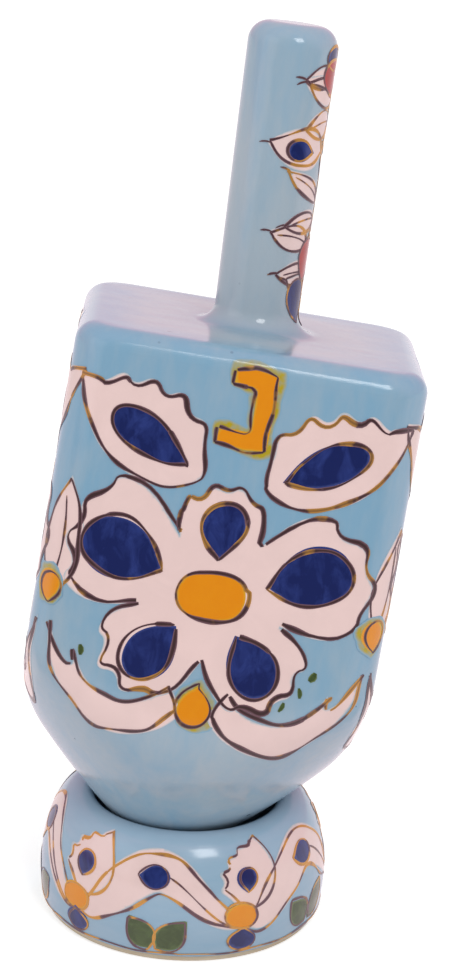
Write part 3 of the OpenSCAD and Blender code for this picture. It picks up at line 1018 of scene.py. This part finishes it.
class DREIDEL_OT_skin(bpy.types.Operator):
    """Build the glazed body and stem as one seamless skin"""
    bl_idname = "dreidel.skin"
    bl_label = "Glazed body and stem"

    def execute(self, context):
        at = Dreidel(context.scene.dreidel_sizes)
        s = at.s
        girth, stem_girth = 4 * at.side, 2 * math.pi * at.stem_r
        # The drain hole, a little wider than the plug's shank, and the underside round it
        bore = s.shank_d / 2 + SHANK_GAP
        base, roof = s.tip_h + s.tip_gap, s.tip_h + DRAIN_LENGTH
        rows = [round_row(0.2, roof), round_row(bore, roof), round_row(bore, base + 0.1), round_row(bore + 0.1, base)]
        rows += [round_row(bore + (at.cone_r(base) - 0.12 - bore) * k, base) for k in (0.5, 0.9, 1.0)]
        # The wall and its rounded top edge, then the flat top
        heights = [base + 0.12] + spread(base + 0.5, 21, 34) + spread(21.4, 40, 44) + spread(41.5, at.straight_top, 26)
        heights += over_edge(at.straight_top, s.top_edge_r)
        rows += [lambda turn, h=h: at.body(turn * girth, h) for h in heights]
        first_top = len(rows)
        rows += [lambda turn, k=k: at.top(turn * girth, k / 12) for k in range(1, 13)]
        # The slip fillet, the stem and its rounded end
        first_fillet = len(rows)
        straight = s.stem_h - s.stem_end_r
        rise = [s.fillet_r * (1 - math.cos(math.pi / 2 * k / 12)) for k in range(1, 13)]
        rise += spread(s.fillet_r, straight, 30)[1:]
        rise += over_edge(straight, s.stem_end_r)
        rows += [lambda turn, h=h: at.stem(turn * stem_girth, h) for h in rise]
        end = s.stem_h + s.stem_end_r
        middle = at.stem(0, end).lerp(at.stem(stem_girth / 2, end), 0.5)
        rows += [lambda turn, k=k: middle.lerp(at.stem(turn * stem_girth, end), k) for k in (0.6, 0.25, 0.03)]
        bm, rings = shaped_tube(rows, SKIN_STEPS)
        thin, pool_and_shade = bm.verts.layers.float["glaze_thin"], bm.verts.layers.float["glaze_deep"]
        for k, ring in enumerate(rings):
            # Darker in the fillet, where glaze pools, with painted shade in its crease. Paler up the stem, where the
            # glaze runs thin, and more so towards its root, a painted lightening against the shade there. Paler down
            # the lower wall towards the point, and paler over the whole flat top, a painted reflection of the white
            # surroundings
            pool_and_crease_shade = 0.5 * math.exp(-((k - first_fillet - 2) / 4) ** 2)
            for vert in ring:
                vert[pool_and_shade] = pool_and_crease_shade
                if k > first_fillet:
                    # Painted lightening towards the stem's root, against the shade there
                    vert[thin] = 0.58 + 0.7 * (1 - min((vert.co.z - s.body_h) / s.stem_h, 1)) ** 1.3
                else:
                    # Its last term is a painted reflection that pales the whole flat top
                    vert[thin] = 0.08 + 0.5 * ramp(vert.co.z, 54, 24) + 0.9 * ramp(k, first_top, first_top + 5)
        close_poles(bm, rings)
        sink_vent(bm, Vector((0, at.cone_r(s.vent_h), s.vent_h)), Vector((0, 1, 0)), s.vent_d / 2, VENT_DEPTH)
        solids = ("dreidel_shell", "stem", "slip_fillet")
        add_piece("dreidel_skin", bm, "dreidel", made_materials()["dreidel"], SET_DOWN, solids)
        return {"FINISHED"}


class DREIDEL_OT_point(bpy.types.Operator):
    """Build the bare clay plug that forms the point"""
    bl_idname = "dreidel.point"
    bl_label = "Clay point"

    def execute(self, context):
        at = Dreidel(context.scene.dreidel_sizes)
        s = at.s
        shank, top = s.shank_d / 2, s.tip_h + s.shank_h
        rows = [
            round_row(s.nose_r * math.sin(a), s.nose_r * (1 - math.cos(a)))
            for a in spread(0.06, math.pi / 2 - s.cone_low, 10)]
        rows += [round_row(at.cone_r(h), h) for h in spread(at.nose_top, s.tip_h - 0.1, 14)[1:]]
        rows += [round_row(at.cone_r(s.tip_h) - 0.1, s.tip_h), round_row(shank + 0.2, s.tip_h)]
        rows += [round_row(shank, s.tip_h + 0.2), round_row(shank, top - 0.3), round_row(shank - 0.3, top)]
        rows += [round_row(0.2, top)]
        bm, rings = shaped_tube(rows, POINT_STEPS)
        close_poles(bm, rings)
        add_piece("clay_point", bm, "point", made_materials()["clay"], SET_DOWN, ("tip",))
        return {"FINISHED"}


class DREIDEL_OT_stand(bpy.types.Operator):
    """Build the glazed stand and its bare foot ring"""
    bl_idname = "dreidel.stand"
    bl_label = "Stand and foot ring"

    def execute(self, context):
        at = Stand(context.scene.dreidel_stand)
        for name, section, cover, slot, node in (
            ("stand_skin", at.profile(), "stand", "glaze", "stand_ring"),
            ("foot_ring", at.foot_profile(), "clay", "bare_clay", "stand_foot"),
        ):
            bm = spun(section, STAND_STEPS, closed=True)
            thin = bm.verts.layers.float["glaze_thin"]
            for vert in bm.verts:
                # Distance from the top of the lip
                away = math.hypot(math.hypot(vert.co.x, vert.co.y) - at.lip[0], vert.co.z - at.s.stand_h)
                vert[thin] = 0.65 + 0.2 * math.exp(-(away / 1.6) ** 2)
            add_piece(name, bm, "stand", made_materials()[cover], nodes=(node,))
        return {"FINISHED"}


class DREIDEL_OT_painting(bpy.types.Operator):
    """Paint the four faces, the stem and the stand"""
    bl_idname = "dreidel.painting"
    bl_label = "Painted flowers and letters"

    def execute(self, context):
        at = Dreidel(context.scene.dreidel_sizes)
        finishes = made_materials()
        faces = Canvas(at.body, 11)
        for turn in range(4):
            painted_face(faces, turn, at)
        faces.finish("face_paint", "dreidel", finishes, SET_DOWN)
        stem = Canvas(at.stem, 12, 0.6, 0.7)
        painted_stem(stem)
        stem.finish("stem_paint", "dreidel", finishes, SET_DOWN, "gilded_with_glints")
        stand = Stand(context.scene.dreidel_stand)
        ring = Canvas(stand.wall, 13, load=0.55)
        painted_stand(ring, stand)
        ring.finish("stand_paint", "stand", finishes, line="gilded_with_glints")
        return {"FINISHED"}


def shown_room(node, place, start, end, lowest, dark, light):
    """White, but in reflections a grade from dark to light between two depths. The second of the two nodes
    gives 1 for rays that come straight from the camera or off a glossy surface."""
    rays = node("LightPath")
    glossy = rays.outputs["Is Glossy Ray"]
    depth = node("SeparateXYZ", {"Vector": place}).outputs["Y"]
    grade = node(
        "MapRange", {"Value": depth, "From Min": start, "From Max": end, "To Min": lowest},
        interpolation_type="SMOOTHSTEP")
    room = node("Mix", (grade, linear(dark), linear(light)), data_type="RGBA")
    shown = node("Mix", (glossy, (1, 1, 1), room), data_type="RGBA")
    return shown, node("Math", (rays.outputs["Is Camera Ray"], glossy), operation="MAXIMUM")


class DREIDEL_OT_stage(bpy.types.Operator):
    """Set up the camera, the white floor and the soft lamps"""
    bl_idname = "dreidel.stage"
    bl_label = "Camera, floor and light"

    def execute(self, context):
        scene = context.scene
        self.camera(scene)
        self.floor(scene)
        self.lamps(scene)
        scene.view_settings.view_transform = "Standard"
        return {"FINISHED"}

    @staticmethod
    def camera(scene):
        """Camera fitted to the object's outline: 21 degrees above the table, half a metre away, a little off level."""
        rise, roll, distance = math.radians(21.35), math.radians(2.77), 0.5107
        target = Vector((0.00391, 0, 0.06608))
        # Focal length and height of the picture in pixels, and the sensor's height in millimetres
        focal, picture, sensor = 3540.4, 980, 36
        right = Vector((1, 0, 0))
        up, back = Vector((0, math.sin(rise), math.cos(rise))), Vector((0, -math.cos(rise), math.sin(rise)))
        tilted_right = right * math.cos(roll) + up * math.sin(roll)
        tilted_up = up * math.cos(roll) - right * math.sin(roll)
        data = bpy.data.cameras.new("camera")
        data.lens = focal * sensor / picture
        data.clip_start, data.clip_end = 0.01, 20
        camera = bpy.data.objects.new("camera", data)
        facing = Matrix((tilted_right, tilted_up, back)).transposed().to_4x4()
        camera.matrix_world = Matrix.Translation(target + back * distance) @ facing
        scene.collection.objects.link(camera)
        scene.camera = camera

    @staticmethod
    def floor(scene):
        """White floor that takes the object's shadow. Reflections show it white near the object and dark
        beyond a quarter of a metre in front, as in an unlit room. Under the stand it stays dark."""
        bm = bmesh.new()
        bmesh.ops.create_grid(bm, x_segments=1, y_segments=1, size=3)
        mesh = bpy.data.meshes.new("floor")
        bm.to_mesh(mesh)
        bm.free()
        floor = bpy.data.objects.new("floor", mesh)
        scene.collection.objects.link(floor)
        name = "white studio floor"
        node, place = new_material(name)
        shown, seen = shown_room(node, place, -0.4, -0.02, 0.1, "#000000", "#FFEFF4")
        pale = node("VectorMath", (shown, (0.8, 0.8, 0.8)), operation="MULTIPLY")
        matt = node("BsdfDiffuse", {"Color": pale})
        away = node("VectorMath", (place,), operation="LENGTH")
        outside = node("Math", (away, 17 * MM), operation="GREATER_THAN")
        level = node("Math", (seen, outside), operation="MULTIPLY")
        half = node("Math", (level, 0.5), operation="MULTIPLY")
        glow = node("Emission", {"Color": shown, "Strength": half})
        node("OutputMaterial", {"Surface": node("AddShader", (matt, glow))})
        mesh.materials.append(bpy.data.materials[name])

    @staticmethod
    def lamps(scene):
        """White surroundings, a softbox in front above and to the right, and a broad fill on the left."""
        scene.world = bpy.data.worlds.new("white studio")
        node = empty_tree(scene.world)
        way = node("TexCoord").outputs["Generated"]
        shown, seen = shown_room(node, way, -0.85, -0.1, 0.0, "#5A565C", "#FFCDDD")
        level = node("MapRange", {"Value": seen, "To Min": 0.72})
        node("OutputWorld", {"Surface": node("Background", {"Color": shown, "Strength": level})})
        middle = Vector((0.005, 0, 0.065))
        for name, place, size, power in (
            ("front softbox", Vector((0.26, -0.56, 0.74)), (0.27, 0.34), 2.2),
            ("left fill", Vector((-1.0, -0.5, 0.5)), (0.9, 0.9), 1.6),
        ):
            data = bpy.data.lights.new(name, "AREA")
            data.shape, data.size, data.size_y, data.energy = "RECTANGLE", *size, power
            lamp = bpy.data.objects.new(name, data)
            facing = (middle - place).to_track_quat("-Z", "Y").to_matrix().to_4x4()
            lamp.matrix_world = Matrix.Translation(place) @ facing
            scene.collection.objects.link(lamp)


class DREIDEL_PT_panel(bpy.types.Panel):
    """Lists the steps that build the dreidel"""
    bl_idname = "DREIDEL_PT_panel"
    bl_label = "Dreidel"
    bl_space_type = "VIEW_3D"
    bl_region_type = "UI"
    bl_category = "Dreidel"

    def draw(self, context):
        for step in STEPS:
            self.layout.operator(step.bl_idname)
        for group in (context.scene.dreidel_sizes, context.scene.dreidel_stand, context.scene.dreidel_colours):
            box = self.layout.box()
            for name in group.__annotations__:
                box.prop(group, name)


GROUPS = (DreidelSizes, StandSizes, PaintColours)
STEPS = (DREIDEL_OT_stage, DREIDEL_OT_skin, DREIDEL_OT_point, DREIDEL_OT_stand, DREIDEL_OT_painting)


def register():
    for cls in (*GROUPS, *STEPS, DREIDEL_PT_panel):
        bpy.utils.register_class(cls)
    bpy.types.Scene.dreidel_sizes = bpy.props.PointerProperty(type=DreidelSizes)
    bpy.types.Scene.dreidel_stand = bpy.props.PointerProperty(type=StandSizes)
    bpy.types.Scene.dreidel_colours = bpy.props.PointerProperty(type=PaintColours)


def unregister():
    del bpy.types.Scene.dreidel_sizes, bpy.types.Scene.dreidel_stand, bpy.types.Scene.dreidel_colours
    for cls in (DREIDEL_PT_panel, *reversed(STEPS), *reversed(GROUPS)):
        bpy.utils.unregister_class(cls)


def main():
    register()
    bpy.ops.dreidel.stage()
    bpy.ops.dreidel.skin()
    bpy.ops.dreidel.point()
    bpy.ops.dreidel.stand()
    bpy.ops.dreidel.painting()


if __name__ == "__main__":
    main()
